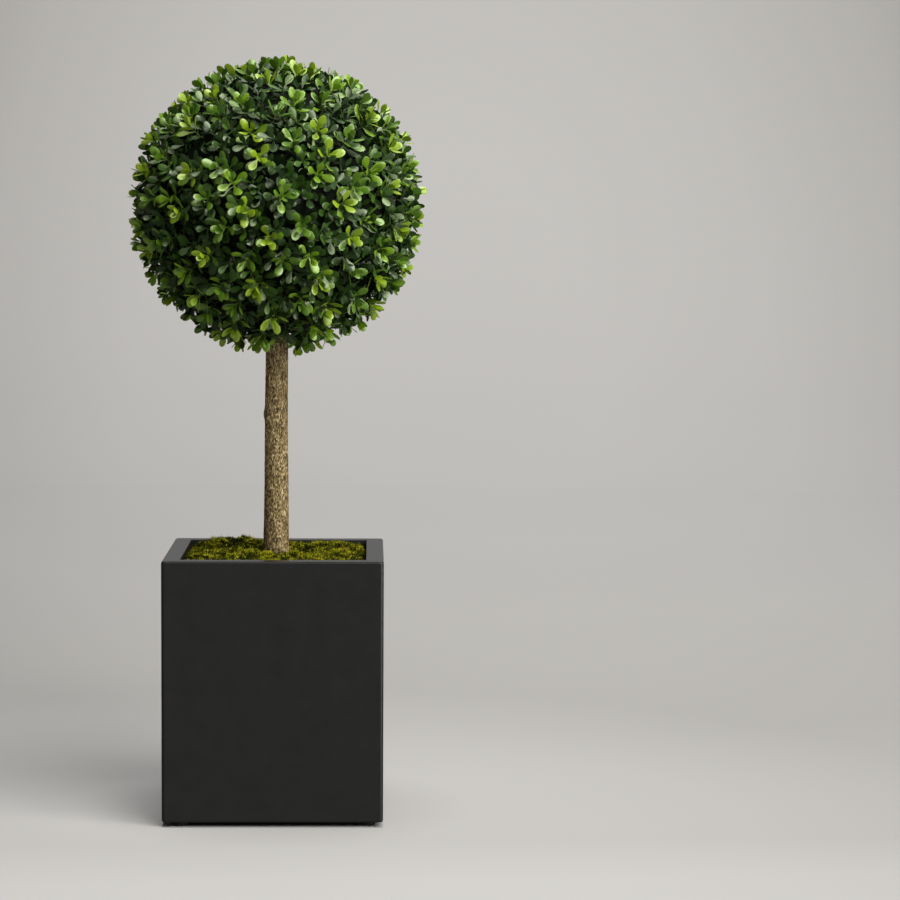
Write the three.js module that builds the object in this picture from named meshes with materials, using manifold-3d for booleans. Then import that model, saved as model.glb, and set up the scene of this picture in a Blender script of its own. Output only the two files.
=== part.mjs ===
// An artificial box topiary ball on a bare stem, standing in a square planter dressed with moss.
// Millimetres, +Z up. The origin is on the floor under the middle of the planter, and the planter's
// front faces -Y.

import * as THREE from "three";
import { mergeVertices } from "three/addons/utils/BufferGeometryUtils.js";
import Module from "manifold-3d";

const wasm = await Module();
wasm.setup();

// Driving dimensions

const seatGap = 0.3; // left between pieces that rest in or on each other

const planter = {
  side: 350,
  height: 415, // of the box alone, without its feet
  cornerRadius: 6, // of the upright corners, in plan
  arris: 4, // rounding of the top and bottom edges
  rimWidth: 28,
  rimDepth: 22, // how far the thick rim reaches down inside
  wall: 14,
  floor: 16,
};

const foot = {
  radius: 14,
  height: 8,
  chamfer: 2,
  inset: 26, // from the planter's side to the foot's middle
  segments: 16,
};

const soil = {
  underRim: 27, // from the top of the rim down to the fill's flat top
};

const moss = {
  halfSide: 141,
  squareness: 7, // exponent of the footprint's superellipse
  edgeHeight: 10,
  height: 26, // over the fill, in the middle of the bed
  edgeRun: 26, // the strip along the border in which the moss rounds down
  dishDepth: 3, // the dip round the trunk
  dishReach: 16,
  trunkClearance: 1.2,
  sectors: 44,
  rings: 7,
};

// Cushions that stand out of the moss bed, as seen from the front: one behind on the left, a long
// ridge in front of it, and two lower ones on the right.
const mossCushions = [
  { x: -66, y: 92, height: 10, spreadX: 50, spreadY: 30 },
  { x: -78, y: -52, height: 5, spreadX: 46, spreadY: 24 },
  { x: 80, y: 78, height: 5, spreadX: 44, spreadY: 36 },
  { x: 62, y: -68, height: 2, spreadX: 50, spreadY: 30 },
];

const trunk = {
  footRadius: 22,
  neckRadius: 17.9, // from the ball's underside upwards
  taperPower: 1.6,
  flare: 1.6,
  flareRise: 10,
  lean: 2, // how far the ball's middle stands towards +X from the planter's
  tipUnderCentre: 60, // the trunk ends inside the ball, this far under its middle
  lobes: 0.022, // share by which the cross-section is out of round
  lobePitch: 90, // the climb in which the lobes turn by a radian
  sides: 16,
  stations: 24,
};

// The one swelling on the trunk, where a side shoot was taken off.
const knot = { height: 645, azimuth: Math.PI, bulge: 2.2, rise: 9, turn: 0.5 };

const ball = {
  centreHeight: 988,
  reach: 244, // from the middle to the furthest leaf tips
  coreRadius: 210,
  coreDetail: 4,
  socketFoot: 10, // how far under the ball's lowest leaves the cut for the trunk starts
};

// A sprig is a twig with pairs of opposite leaves near its point, each pair a quarter turn on from the
// last. Lengths of twig are measured from the ball's middle.
const sprig = {
  seed: 20260,
  count: 90,
  forks: 30, // places inside the core where the twigs branch
  forkRadius: 140,
  tipRadius: 224,
  tipSpread: 5,
  scatter: 0.04, // radians by which a sprig leaves its even place
  footRadius: 4.2, // the twig's, at its fork
  shoulderRadius: 2.4,
  budLength: 6, // the twig's point, above its shoulder
};

const leafPairs = [
  { belowTip: 8, incline: 0.7 },
  { belowTip: 15, incline: 1.12 },
];

const leaf = {
  length: 58,
  width: 34,
  thickness: 2.8,
  widestAt: 0.64, // share of the length
  thickestAt: 0.36,
  rootOffset: 0.3, // from the twig's axis, so that opposite roots stay apart
  inclineSpread: 0.1, // radians
  lengthSpread: 0.08,
  trunkClearance: 3,
};

const goldenAngle = Math.PI * (3 - Math.sqrt(5));

const colours = {
  planter: "#2b2b2c",
  foot: "#151515",
  fill: "#3a2c20",
  moss: "#4f5414",
  bark: "#7d6c4a",
  foliage: "#3c5a22",
};

// Levels worked out from the dimensions above

const rimHeight = foot.height + planter.height;
const soilHeight = rimHeight - soil.underRim;
const trunkFoot = soilHeight + seatGap;
const trunkTip = ball.centreHeight - trunk.tipUnderCentre;
const ballUnderside = ball.centreHeight - ball.reach;
const ballCentre = new THREE.Vector3(trunk.lean, 0, ball.centreHeight);

// Helpers

// Park and Miller's generator: every build draws the same numbers, from 0 to 1.
function seededRandom(seed) {
  let state = seed;
  return () => {
    state = (state * 16807) % 2147483647;
    return state / 2147483647;
  };
}

function smoothstep(share) {
  const t = Math.min(1, Math.max(0, share));
  return t * t * (3 - 2 * t);
}

function geometryFrom(points, triangles) {
  const geometry = new THREE.BufferGeometry().setFromPoints(points);
  geometry.setIndex(triangles.flat());
  return geometry;
}

function solidFrom(geometry) {
  const bare = geometry.clone();
  bare.deleteAttribute("normal");
  bare.deleteAttribute("uv");
  const merged = mergeVertices(bare, 1e-4);
  const mesh = new wasm.Mesh({
    numProp: 3,
    vertProperties: merged.attributes.position.array,
    triVerts: new Uint32Array(merged.index.array),
  });
  return new wasm.Manifold(mesh);
}

function geometryOf(solid) {
  const mesh = solid.getMesh();
  const geometry = new THREE.BufferGeometry();
  geometry.setAttribute("position", new THREE.BufferAttribute(mesh.vertProperties, 3));
  geometry.setIndex(new THREE.BufferAttribute(mesh.triVerts, 1));
  return geometry.toNonIndexed();
}

// The largest closed body of a solid: loose scraps and sealed hollows fall away.
function mainBody(solid) {
  const bodies = solid.decompose();
  return bodies.reduce((a, b) => (b.volume() > a.volume() ? b : a));
}

function material(colour, roughness, metalness = 0) {
  return new THREE.MeshStandardMaterial({ color: colour, roughness, metalness });
}

function node(name, geometry, meshMaterial) {
  const shaded = geometry.index ? geometry.toNonIndexed() : geometry;
  shaded.computeVertexNormals();
  const mesh = new THREE.Mesh(shaded, meshMaterial);
  mesh.name = name;
  return mesh;
}

// A box with upright edges along Z, from one level up to another, centred on the Z axis.
function uprightBox(side, bottom, top) {
  const geometry = new THREE.BoxGeometry(side, side, top - bottom);
  return geometry.translate(0, 0, (top + bottom) / 2);
}

function roundedSquare(side, radius) {
  const inner = side / 2 - radius;
  const corners = [[1, -1], [1, 1], [-1, 1], [-1, -1]];
  const shape = new THREE.Shape();
  corners.forEach(([x, y], quarter) => {
    const start = ((quarter - 1) * Math.PI) / 2;
    shape.absarc(x * inner, y * inner, radius, start, start + Math.PI / 2, false);
  });
  return shape;
}

// Rings of equal point counts, joined in order. Closed rings go round a tube; with loop true the last
// ring joins the first one, and otherwise flat caps close the two ends.
function loft(rings, loop) {
  const sides = rings[0].length;
  const points = rings.flat();
  const triangles = [];
  const spans = loop ? rings.length : rings.length - 1;
  for (let r = 0; r < spans; r++) {
    const low = r * sides;
    const high = ((r + 1) % rings.length) * sides;
    for (let s = 0; s < sides; s++) {
      const next = (s + 1) % sides;
      triangles.push([low + s, low + next, high + next], [low + s, high + next, high + s]);
    }
  }
  if (!loop) {
    [0, rings.length - 1].forEach((r, end) => {
      const middle = rings[r].reduce((sum, p) => sum.add(p), new THREE.Vector3());
      const centre = points.push(middle.divideScalar(sides)) - 1;
      for (let s = 0; s < sides; s++) {
        const pair = [r * sides + s, r * sides + ((s + 1) % sides)];
        triangles.push(end ? [centre, ...pair] : [centre, pair[1], pair[0]]);
      }
    });
  }
  return geometryFrom(points, triangles);
}

// The planter and what fills it

function planterBox() {
  const outline = roundedSquare(planter.side, planter.cornerRadius);
  const body = new THREE.ExtrudeGeometry(outline, {
    depth: planter.height - 2 * planter.arris,
    bevelThickness: planter.arris,
    bevelSize: planter.arris,
    bevelOffset: -planter.arris,
    bevelSegments: 4,
    curveSegments: 3,
  });
  body.translate(0, 0, foot.height + planter.arris);
  const cavityTop = rimHeight - planter.rimDepth;
  const cavity = uprightBox(planter.side - 2 * planter.wall, foot.height + planter.floor, cavityTop);
  const opening = uprightBox(planter.side - 2 * planter.rimWidth, cavityTop - 1, rimHeight + 1);
  return geometryOf(solidFrom(body).subtract(solidFrom(cavity)).subtract(solidFrom(opening)));
}

function planterFoot(signX, signY) {
  const profile = [
    new THREE.Vector2(0, 0),
    new THREE.Vector2(foot.radius - foot.chamfer, 0),
    new THREE.Vector2(foot.radius, foot.chamfer),
    new THREE.Vector2(foot.radius, foot.height),
    new THREE.Vector2(0, foot.height),
  ];
  const place = planter.side / 2 - foot.inset;
  const turned = new THREE.LatheGeometry(profile, foot.segments).rotateX(Math.PI / 2);
  return turned.translate(signX * place, signY * place, 0);
}

function pottingFill() {
  const side = planter.side - 2 * planter.wall - 2 * seatGap;
  return uprightBox(side, foot.height + planter.floor + seatGap, soilHeight);
}

// Moss

function mossBorder(angle) {
  const p = moss.squareness;
  const sum = Math.abs(Math.cos(angle)) ** p + Math.abs(Math.sin(angle)) ** p;
  return moss.halfSide / sum ** (1 / p);
}

function mossTop(x, y) {
  const radius = Math.hypot(x, y);
  const fromBorder = mossBorder(Math.atan2(y, x)) - radius;
  const rise = smoothstep(fromBorder / moss.edgeRun);
  const cushions = mossCushions.reduce((sum, c) => {
    const away = ((x - c.x) / c.spreadX) ** 2 + ((y - c.y) / c.spreadY) ** 2;
    return sum + c.height * Math.exp(-away);
  }, 0);
  const dish = moss.dishDepth * (1 - smoothstep((radius - trunk.footRadius) / moss.dishReach));
  const bed = moss.edgeHeight + (moss.height - moss.edgeHeight + cushions) * rise;
  return soilHeight + seatGap + bed - dish;
}

// A ring-shaped bed round the trunk: up its inner wall, out over the top, down the border and back.
function mossBed() {
  const hole = trunk.footRadius + trunk.flare + moss.trunkClearance;
  const rings = [];
  const ringAt = (share, heightAt) => {
    const ring = [];
    for (let s = 0; s < moss.sectors; s++) {
      const angle = (2 * Math.PI * s) / moss.sectors;
      const radius = hole + (mossBorder(angle) - hole) * share;
      const x = radius * Math.cos(angle);
      const y = radius * Math.sin(angle);
      ring.push(new THREE.Vector3(x, y, heightAt(x, y)));
    }
    return ring;
  };
  for (let r = 0; r <= moss.rings; r++) rings.push(ringAt(1 - r / moss.rings, mossTop));
  const underside = () => soilHeight + seatGap;
  rings.push(ringAt(0, underside), ringAt(1, underside));
  return loft(rings, true);
}

// Trunk

function trunkRadius(height, angle) {
  const climbed = Math.min(1, (height - trunkFoot) / (ballUnderside - trunkFoot));
  const taper = (trunk.footRadius - trunk.neckRadius) * (1 - climbed) ** trunk.taperPower;
  const flare = trunk.flare * Math.exp(-(height - trunkFoot) / trunk.flareRise);
  const twist = height / trunk.lobePitch;
  const lobes = Math.sin(2 * angle + twist) + 0.6 * Math.sin(3 * angle - 2 * twist);
  const round = (trunk.neckRadius + taper) * (1 + trunk.lobes * lobes);
  const turned = Math.atan2(Math.sin(angle - knot.azimuth), Math.cos(angle - knot.azimuth));
  const away = ((height - knot.height) / knot.rise) ** 2 + (turned / knot.turn) ** 2;
  return round + flare + knot.bulge * Math.exp(-away);
}

function trunkAxis(height) {
  return (trunk.lean * (height - trunkFoot)) / (ball.centreHeight - trunkFoot);
}

// The trunk between two levels, or the socket round it when it is grown by some clearance.
function trunkSolid(bottom, top, grown) {
  const rings = [];
  for (let k = 0; k <= trunk.stations; k++) {
    const height = bottom + ((top - bottom) * k) / trunk.stations;
    const ring = [];
    for (let s = 0; s < trunk.sides; s++) {
      const angle = (2 * Math.PI * s) / trunk.sides;
      const radius = trunkRadius(height, angle) + grown;
      const x = trunkAxis(height) + radius * Math.cos(angle);
      ring.push(new THREE.Vector3(x, radius * Math.sin(angle), height));
    }
    rings.push(ring);
  }
  return loft(rings, false);
}

// Foliage

function spiralDirection(index, count) {
  const up = 1 - (2 * (index + 0.5)) / count;
  const level = Math.sqrt(1 - up * up);
  const turn = index * goldenAngle;
  return new THREE.Vector3(level * Math.cos(turn), level * Math.sin(turn), up);
}

// Two directions square to an axis and to each other.
function across(axis) {
  const helper = Math.abs(axis.z) < 0.9 ? new THREE.Vector3(0, 0, 1) : new THREE.Vector3(1, 0, 0);
  const side = helper.cross(axis).normalize();
  return [side, new THREE.Vector3().crossVectors(axis, side)];
}

function along(start, ...steps) {
  const point = start.clone();
  steps.forEach(([direction, length]) => point.addScaledVector(direction, length));
  return point;
}

// A three-sided twig from its fork to its point.
function twigSolid(from, to) {
  const axis = to.clone().sub(from).normalize();
  const [side, other] = across(axis);
  const shoulder = along(to, [axis, -sprig.budLength]);
  const corners = (centre, radius) => [0, 1, 2].map((k) => {
    const angle = (2 * Math.PI * k) / 3;
    return along(centre, [side, radius * Math.cos(angle)], [other, radius * Math.sin(angle)]);
  });
  const points = [...corners(from, sprig.footRadius), ...corners(shoulder, sprig.shoulderRadius), to];
  const triangles = [[0, 2, 1]];
  for (let k = 0; k < 3; k++) {
    const next = (k + 1) % 3;
    triangles.push([k, next, 3 + next], [k, 3 + next, 3 + k], [3 + k, 3 + next, 6]);
  }
  return solidFrom(geometryFrom(points, triangles));
}

// A leaf of eight faces: root, right, tip and left in its plane, with one point over it and one under.
function leafPoints(root, direction, normal, length) {
  const left = new THREE.Vector3().crossVectors(normal, direction);
  const halfWidth = ((leaf.width / 2) * length) / leaf.length;
  return [
    along(root, [direction, leaf.rootOffset]),
    along(root, [direction, length * leaf.widestAt], [left, -halfWidth]),
    along(root, [direction, length]),
    along(root, [direction, length * leaf.widestAt], [left, halfWidth]),
    along(root, [direction, length * leaf.thickestAt], [normal, leaf.thickness / 2]),
    along(root, [direction, length * leaf.thickestAt], [normal, -leaf.thickness / 2]),
  ];
}

function leafSolid(points) {
  const over = [[0, 1, 4], [1, 2, 4], [2, 3, 4], [3, 0, 4]];
  const under = [[1, 0, 5], [2, 1, 5], [3, 2, 5], [0, 3, 5]];
  return solidFrom(geometryFrom(points, [...over, ...under]));
}

function clearsTrunk(point, clearance) {
  const away = Math.hypot(point.x - trunkAxis(point.z), point.y);
  return point.z > ball.centreHeight || away > trunk.neckRadius + clearance;
}

// A leaf's length, cut back where its tip would leave the clipped ball.
function clippedLength(root, direction, length) {
  const fromCentre = root.clone().sub(ballCentre);
  const b = fromCentre.dot(direction);
  const c = fromCentre.lengthSq() - ball.reach ** 2;
  return Math.min(length, Math.sqrt(b * b - c) - b);
}

// One sprig: a twig that leaves its fork, and its pairs of leaves.
function sprigSolids(direction, forkDirections, random) {
  const spread = (amount) => (2 * random() - 1) * amount;
  const [side, other] = across(direction);
  const aim = along(direction, [side, spread(sprig.scatter)], [other, spread(sprig.scatter)]).normalize();
  const fork = forkDirections.reduce((a, b) => (b.angleTo(aim) < a.angleTo(aim) ? b : a));
  const from = along(ballCentre, [fork, sprig.forkRadius]);
  const tip = along(ballCentre, [aim, sprig.tipRadius + spread(sprig.tipSpread)]);
  const axis = tip.clone().sub(from).normalize();
  const [u, v] = across(axis);
  const phase = random() * Math.PI;
  const leaves = [];
  leafPairs.forEach((pair, level) => {
    const root = along(tip, [axis, -pair.belowTip]);
    for (const opposite of [0, Math.PI]) {
      const azimuth = phase + level * (Math.PI / 2) + opposite;
      const incline = pair.incline + spread(leaf.inclineSpread);
      const out = along(new THREE.Vector3(), [u, Math.cos(azimuth)], [v, Math.sin(azimuth)]);
      const blade = along(new THREE.Vector3(), [axis, Math.cos(incline)], [out, Math.sin(incline)]);
      const normal = along(new THREE.Vector3(), [axis, Math.sin(incline)], [out, -Math.cos(incline)]);
      const length = clippedLength(root, blade, leaf.length * (1 + spread(leaf.lengthSpread)));
      const points = leafPoints(root, blade, normal, length);
      if (points.every((p) => clearsTrunk(p, leaf.trunkClearance))) leaves.push(leafSolid(points));
    }
  });
  const twigFits = clearsTrunk(tip, leaf.trunkClearance);
  return twigFits && leaves.length ? [twigSolid(from, tip), ...leaves] : [];
}

// The clipped ball: a core with a socket for the trunk, and the sprigs that stand out of it.
function foliageBall() {
  const core = new THREE.IcosahedronGeometry(ball.coreRadius, ball.coreDetail);
  core.translate(ballCentre.x, ballCentre.y, ballCentre.z);
  const forkDirections = [];
  for (let k = 0; k < sprig.forks; k++) forkDirections.push(spiralDirection(k, sprig.forks));
  const random = seededRandom(sprig.seed);
  let mass = solidFrom(core);
  for (let k = 0; k < sprig.count; k++) {
    const direction = spiralDirection(k, sprig.count);
    sprigSolids(direction, forkDirections, random).forEach((solid) => {
      mass = mass.add(solid);
    });
  }
  const socket = trunkSolid(ballUnderside - ball.socketFoot, trunkTip + seatGap, seatGap);
  return geometryOf(mainBody(mass.subtract(solidFrom(socket))));
}

// The assembly

const plasticBlack = material(colours.foot, 0.6);
const topiary = new THREE.Group();
topiary.name = "box_topiary_ball";
topiary.add(node("planter", planterBox(), material(colours.planter, 0.55)));
for (const [side, signX] of [["left", -1], ["right", 1]]) {
  for (const [end, signY] of [["front", -1], ["back", 1]]) {
    topiary.add(node(`foot_${end}_${side}`, planterFoot(signX, signY), plasticBlack));
  }
}
topiary.add(node("potting_fill", pottingFill(), material(colours.fill, 0.95)));
topiary.add(node("moss_bed", mossBed(), material(colours.moss, 0.95)));
topiary.add(node("trunk", trunkSolid(trunkFoot, trunkTip, 0), material(colours.bark, 0.85)));
topiary.add(node("foliage_ball", foliageBall(), material(colours.foliage, 0.55)));

export default topiary;
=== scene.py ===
import math

import bpy
import numpy as np
from mathutils import Matrix, Vector, noise


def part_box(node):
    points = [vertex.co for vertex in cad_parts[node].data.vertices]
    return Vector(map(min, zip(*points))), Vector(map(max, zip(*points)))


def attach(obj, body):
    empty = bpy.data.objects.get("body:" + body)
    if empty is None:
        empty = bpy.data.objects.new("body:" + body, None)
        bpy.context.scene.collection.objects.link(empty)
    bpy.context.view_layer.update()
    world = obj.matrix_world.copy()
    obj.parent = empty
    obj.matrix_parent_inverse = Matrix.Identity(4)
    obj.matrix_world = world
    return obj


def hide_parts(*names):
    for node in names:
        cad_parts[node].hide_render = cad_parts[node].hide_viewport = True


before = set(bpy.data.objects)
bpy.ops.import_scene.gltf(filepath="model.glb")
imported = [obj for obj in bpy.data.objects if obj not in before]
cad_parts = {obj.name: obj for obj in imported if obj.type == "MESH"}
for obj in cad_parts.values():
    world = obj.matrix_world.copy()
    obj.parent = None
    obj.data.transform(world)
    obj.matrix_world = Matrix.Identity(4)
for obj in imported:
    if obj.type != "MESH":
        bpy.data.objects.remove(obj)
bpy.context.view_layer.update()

# An artificial box topiary ball on a bare stem, in a square planter dressed with moss.
# Metres, +Z up, origin on the floor under the middle of the planter, whose front faces -Y.

PLANTER_LOW, PLANTER_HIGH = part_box("planter")
TRUNK_LOW, TRUNK_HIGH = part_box("trunk")
MOSS_LOW, MOSS_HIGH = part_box("moss_bed")

GOLDEN_ANGLE = math.pi * (3 - math.sqrt(5))

# Sizes that the solids don't state

PLANTER_CORNER = 0.006
PLANTER_ARRIS = 0.0035
LEAST_CORNER = 0.0015
INNER_CORNER = 0.002
RIM_WIDTH = 0.028
RIM_DEPTH = 0.022
RIM_BEVEL = 0.001
WALL = 0.014
FLOOR = 0.016
FOOT_EDGE = 0.0025

MOSS_SQUARENESS = 12
MOSS_EDGE_HEIGHT = 0.010
MOSS_HEIGHT = 0.026
MOSS_EDGE_RUN = 0.026
MOSS_EDGE_POWER = 0.38
MOSS_DISH_DEPTH = 0.003
MOSS_DISH_REACH = 0.016
MOSS_TUFT_BORDER = 0.0052  # how far the tufts spread past the bed, still inside the rim's opening
MOSS_LIMIT = 0.1462  # how far out a strand's tip may come along X or Y
MOSS_LUMP_HEIGHT = 0.0042
COARSE_LUMP = 0.030
FINE_LUMP = 0.011
MOSS_SINK = 0.005  # from the moss's height down to its mat and to the feet of its tufts
MOSS_LEAST = 0.002
MOSS_HOLE_GAP = 0.0006

TUFT_COUNT = 4400
TUFT_STRANDS = 11
TUFT_HEIGHTS = (0.0045, 0.0070)
TUFT_LUMP_GROWTH = 0.2
TUFT_TRUNK_GAP = 0.0015
TUFT_FOOT_RADIUS = 0.0012
TUFT_RISE_SPREAD = 0.0009
TUFT_UPRIGHTNESS = 1.2
STRAND_LENGTHS = (0.70, 1.10)  # of its tuft's height
STRAND_THICKNESSES = (0.0005, 0.0008)
STRAND_SPLAY = 0.95
STRAND_LEAN_SPREAD = 0.15
LONG_STRAND_SHARE = 0.008
LONG_STRAND_GROWTH = 1.6

# A strand's tone picks its colour. It follows the lumps, as painted light on their tops and painted
# shade in their hollows; it falls from the middle of a tuft to its edge, as painted shade on the outer
# strands that lean away; and it varies by tuft and by strand, as the moss's own mottling. Above
# BRIGHT_TONE a strand is bright, above OLIVE_TONE olive and else dark, and a share of the bright and
# olive ones turns brown.
LUMP_LIGHT_AND_SHADE = 1.1
TUFT_EDGE_SHADE = 1.1
TUFT_TONE_PLACE = 0.62
TUFT_TONE_SPREAD = 0.45
STRAND_TONE_SPREAD = 0.25
BRIGHT_TONE = 0.80
OLIVE_TONE = 0.15
BROWN_STRAND_SHARE = 0.12

# Cushions in the moss: place, height, and spread along X and Y.
MOSS_CUSHIONS = (
    (-0.072, 0.092, 0.014, 0.046, 0.030),
    (-0.078, -0.052, 0.005, 0.046, 0.024),
    (0.080, 0.078, 0.005, 0.044, 0.036),
    (0.062, -0.068, 0.002, 0.050, 0.030),
)

TRUNK_FOOT_RADIUS = 0.022
TRUNK_NECK_RADIUS = 0.0179
TRUNK_TAPER_POWER = 1.6
TRUNK_FLARE = 0.0016
TRUNK_FLARE_RISE = 0.010
TRUNK_LOBES = 0.022
TRUNK_LOBE_PITCH = 0.090
KNOT_HEIGHT = 0.645
KNOT_AZIMUTH = math.pi
KNOT_BULGE = 0.0022
KNOT_RISE = 0.009
KNOT_TURN = 0.5
BARK_DEPTH = 0.0009
BARK_LEVEL = 0.75  # the relief that lies on the solid's outline
BARK_MEAN = 0.52
BARK_WANDER = 0.25
BARK_WANDER_LENGTH = 0.05
# Patterns in the bark: strength, width round the stem, length along it, and a shift that sets it apart.
BARK_PATTERNS = (
    (0.55, 0.0018, 0.0044, (0, 0)),
    (0.25, 0.0060, 0.0140, (5, 1)),
    (0.30, 0.0011, 0.0022, (2, 8)),
)

BALL_CENTRE = Vector((0.002, 0, 0.988))
BALL_REACH = 0.244
BALL_UNDERSIDE = BALL_CENTRE.z - BALL_REACH
LEAF_CENTRE = Vector((0.0013, 0, 0.9805))  # the leaves hang a little below the ball's own centre
LEAF_TRUNK_GAP = 0.003
CORE_RADIUS = 0.200
CORE_DENT = 0.004
SOCKET_GAP = 0.0012
SOCKET_TIP_GAP = 0.0006
FORK_COUNT = 90
FORK_RADIUS = 0.150
TWIG_FOOT_RADIUS = 0.0014
TWIG_TIP_RADIUS = 0.0007

# How sprigs and their leaves vary: a spread about the rule, or the least and the most of a share.

AIM_SPREAD = 0.035
SPRIG_LIFT = 0.03
SPRIG_SIZES = (0.92, 1.10)
LEAF_SIZES = (0.90, 1.10)
LEAF_TURN_SPREAD = 0.16
LEAF_INCLINE_SPREAD = 6  # degrees
LEAF_TWIST_SPREAD = 0.18
LEAF_CUP_SPREAD = 0.030
LEAF_BEND = 0.010
LEAF_BEND_SPREAD = 0.025

# The photograph's view, in its pixels: the picture's side, the focal length, and the point where the
# lines that run along +Y meet.

FRAME_PIXELS = 900
FOCAL_PIXELS = 2900
VANISHING_POINT = (370, 228)
CAMERA_PLACE = (0.153, -4.707, 0.947)
CAMERA_ROLL = math.radians(0.29)

# The stage: a floor that is flat as far as one radius and turns up into a round wall at the other.

STAGE_FLAT = 6.0
STAGE_WALL = 9.0
STAGE_TOP = 9.0
STAGE_THICKNESS = 0.02
STAGE_SECTORS = 96
UNLIT_FLOOR_HEIGHT = 0.0003
STUDIO_COLOUR = (0.415, 0.406, 0.392)

# Lamps: place, the point that each faces, width and height, watts and colour.

PLANT_MIDDLE = Vector((0, 0, 0.85))
KEY_PLACE = PLANT_MIDDLE + Vector((7.1, -8.2, 8.9))
KEY_LAMP = (KEY_PLACE, PLANT_MIDDLE, (12.0, 12.0), 3100, (1.0, 0.985, 0.96))
SIDE_LAMP = ((4.4, -2.4, 0.40), (0, 0, 0.95), (2.2, 1.7), 84, (1.0, 0.99, 0.97))
TOP_LAMP = ((0.2, 0.2, 3.6), PLANT_MIDDLE, (2.4, 2.4), 48, (1, 1, 1))

# The sky's strength all round and straight behind the plant, and the stretch of directions, by their
# part along +Y, over which it rises.

SKY_STRENGTHS = (0.075, 0.41)
SKY_RISE = (0.80, 0.98)

# The backdrop's own glow, in lobes: the middle of each, its reach along each axis, and its strength by
# nearness, which is 1 at the middle and 0 at the reach.

GLOWS = (
    # evenly all round the plant
    (
        (0, 0, 0),
        (12, 12, 12),
        (
            (0.25, 0.018),
            (0.40, 0.023),
            (0.50, 0.057),
            (0.60, 0.036),
            (0.70, 0.018),
            (0.80, 0.006),
            (0.90, 0.006),
            (0.973, 0.133),
            (0.986, 0.085),
        ),
    ),
    # the wall behind the plant
    ((0.5, 7.0, 0.8), (3.4, 8.0, 6.0), ((0.2, 0.0), (0.4, 0.127), (0.6, 0.201), (0.8, 0.234))),
    # the floor in front of the plant
    ((1.2, -2.0, 0), (6.0, 1.75, 1.0), ((0.0, 0.0), (0.15, 0.070), (0.40, 0.110))),
    # the floor in the planter's shade, which it lightens
    ((-0.20, 0.05, 0), (0.30, 0.35, 0.30), ((0.0, 0.0), (0.40, 0.022), (0.60, 0.050), (0.80, 0.068))),
)


# Meshes

def make_piece(name, points, faces, material, sharp_degrees=None):
    """A smooth-shaded mesh object; sharp_degrees keeps the edges that bend by more than that."""
    mesh = bpy.data.meshes.new(name)
    mesh.from_pydata(np.asarray(points, float).reshape(-1, 3).tolist(), [], faces)
    mesh.materials.append(material)
    mesh.shade_smooth()
    if sharp_degrees is not None:
        mesh.set_sharp_from_angle(angle=math.radians(sharp_degrees))
    mesh.validate()
    piece = bpy.data.objects.new(name, mesh)
    bpy.context.scene.collection.objects.link(piece)
    return piece


def place_piece(piece, slot, *nodes):
    """Hands a piece to the frame: its body, and the nodes that it stands for, which it hides. The slot is
    not used.
    """
    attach(piece, "root")
    if nodes:
        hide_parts(*nodes)


def ring_faces(rings, sides, closed_along=False):
    """Quads between consecutive rings of points, each ring closed round."""
    faces = []
    for r in range(rings if closed_along else rings - 1):
        low, high = r * sides, (r + 1) % rings * sides
        for s in range(sides):
            after = (s + 1) % sides
            faces.append((low + s, low + after, high + after, high + s))
    return faces


def ring_points(radius, height, sides, centre=(0, 0)):
    """A level circle of points."""
    turns = [2 * math.pi * s / sides for s in range(sides)]
    return [(centre[0] + radius * math.cos(t), centre[1] + radius * math.sin(t), height) for t in turns]


def lathe(profile, sides, centre=(0, 0)):
    """Points and faces of a turned solid whose profile runs from the axis, round, to the axis."""
    points = [(*centre, profile[0][1])]
    for radius, height in profile[1:-1]:
        points += ring_points(radius, height, sides, centre)
    points.append((*centre, profile[-1][1]))
    rings = len(profile) - 2
    faces = [tuple(1 + i for i in face) for face in ring_faces(rings, sides)]
    last = len(points) - 1
    for s in range(sides):
        after = (s + 1) % sides
        faces.append((0, 1 + after, 1 + s))
        faces.append((last, last - sides + s, last - sides + after))
    return points, faces


def arc(centre, radius, start, end, steps):
    """Points of an arc in a profile, from one angle to another, in degrees."""
    turn = [math.radians(start + (end - start) * k / steps) for k in range(steps + 1)]
    return [(centre[0] + radius * math.cos(t), centre[1] + radius * math.sin(t)) for t in turn]


def smoothstep(share):
    """An even rise from 0 to 1, level at both ends."""
    t = np.clip(share, 0, 1)
    return t * t * (3 - 2 * t)


# Materials

def principled(name, colour, roughness, specular):
    """A plain material, and its node tree and shader for whatever is added."""
    material = bpy.data.materials.new(name)
    material.use_nodes = True
    tree = material.node_tree
    shader = tree.nodes["Principled BSDF"]
    shader.inputs["Base Color"].default_value = (*colour, 1)
    shader.inputs["Roughness"].default_value = roughness
    shader.inputs["Specular IOR Level"].default_value = specular
    return material, tree, shader


def add_noise(tree, scale, detail, stretch=(1, 1, 1)):
    """Object-space noise, stretched along the axes; returns its Fac output."""
    place = tree.nodes.new("ShaderNodeTexCoord")
    mapping = tree.nodes.new("ShaderNodeMapping")
    mapping.inputs["Scale"].default_value = stretch
    texture = tree.nodes.new("ShaderNodeTexNoise")
    texture.inputs["Scale"].default_value = scale
    texture.inputs["Detail"].default_value = detail
    tree.links.new(place.outputs["Object"], mapping.inputs["Vector"])
    tree.links.new(mapping.outputs["Vector"], texture.inputs["Vector"])
    return texture.outputs["Fac"]


def add_ramp(tree, factor, *stops):
    """A colour ramp of (position, colour) stops on a factor."""
    ramp = tree.nodes.new("ShaderNodeValToRGB")
    elements = ramp.color_ramp.elements
    while len(elements) < len(stops):
        elements.new(0.5)
    for element, (position, colour) in zip(elements, stops):
        element.position = position
        element.color = (*colour, 1)
    tree.links.new(factor, ramp.inputs["Fac"])
    return ramp.outputs["Color"]


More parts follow.
